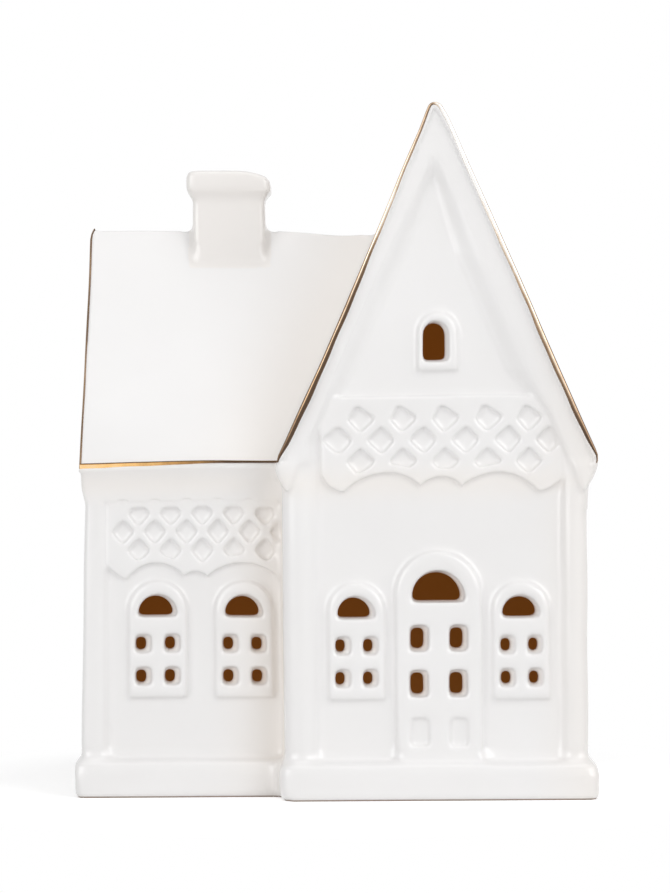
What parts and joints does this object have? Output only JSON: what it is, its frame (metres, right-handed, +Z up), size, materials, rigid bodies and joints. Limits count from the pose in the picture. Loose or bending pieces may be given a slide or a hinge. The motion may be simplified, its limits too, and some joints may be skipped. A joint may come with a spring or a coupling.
{
  "type": "tealight house",
  "caption": "Hollow white porcelain house with a tall gable, lower wing, pierced windows, raised lattice friezes and gold edges, open underneath, standing over a tealight.",
  "frame": {"origin": "centre of the foot rim's rectangle, on the surface that the house stands on", "axes": "+X to the viewer's right, from the wing to the tall block; +Y to the back, away from the door; +Z up"},
  "size_m": [0.1324, 0.0952, 0.175],
  "materials": {
    "glazed_porcelain": "gloss glaze",
    "gold_lustre": "fired gold lustre over glaze",
    "cup_aluminium": "bright drawn foil",
    "sustainer_steel": "tinned",
    "candle_wax": "satin paraffin wax",
    "wick_cotton": "waxed braid"
  },
  "bodies": {
    "tealight": {"tealight_cup": "cup_aluminium", "tealight_wax": "candle_wax", "wick_sustainer": "sustainer_steel", "tealight_wick": "wick_cotton"},
    "house": {"attic_surround": "glazed_porcelain", "bargeboard": "glazed_porcelain", "chimney_cap": "glazed_porcelain", "chimney_stack": "glazed_porcelain", "door_surround": "glazed_porcelain", "gable_back_gilding": "gold_lustre", "gable_back_wall": "glazed_porcelain", "gable_cornice_left": "glazed_porcelain", "gable_cornice_right": "glazed_porcelain", "gable_eave_gilding": "gold_lustre", "gable_front_wall": "glazed_porcelain", "gable_lattice": "glazed_porcelain", "gable_left_return": "glazed_porcelain", "gable_pilaster_left": "glazed_porcelain", "gable_pilaster_right": "glazed_porcelain", "gable_plinth": "glazed_porcelain", "gable_right_wall": "glazed_porcelain", "gable_roof": "glazed_porcelain", "gable_verge_gilding": "gold_lustre", "gable_window_left": "glazed_porcelain", "gable_window_right": "glazed_porcelain", "kneeler_left": "glazed_porcelain", "kneeler_right": "glazed_porcelain", "wing_back_gilding": "gold_lustre", "wing_back_wall": "glazed_porcelain", "wing_cornice_back": "glazed_porcelain", "wing_cornice_front": "glazed_porcelain", "wing_eave_gilding": "gold_lustre", "wing_front_wall": "glazed_porcelain", "wing_lattice": "glazed_porcelain", "wing_left_wall": "glazed_porcelain", "wing_pilaster": "glazed_porcelain", "wing_plinth": "glazed_porcelain", "wing_roof": "glazed_porcelain", "wing_verge_gilding": "gold_lustre", "wing_window_left": "glazed_porcelain", "wing_window_right": "glazed_porcelain"}
  },
  "joints": [
    {"name": "lift_off", "type": "slide", "parent": "tealight", "child": "house", "axis": [0, 0, 1], "range_m": [0, 0.2]}
  ]
}
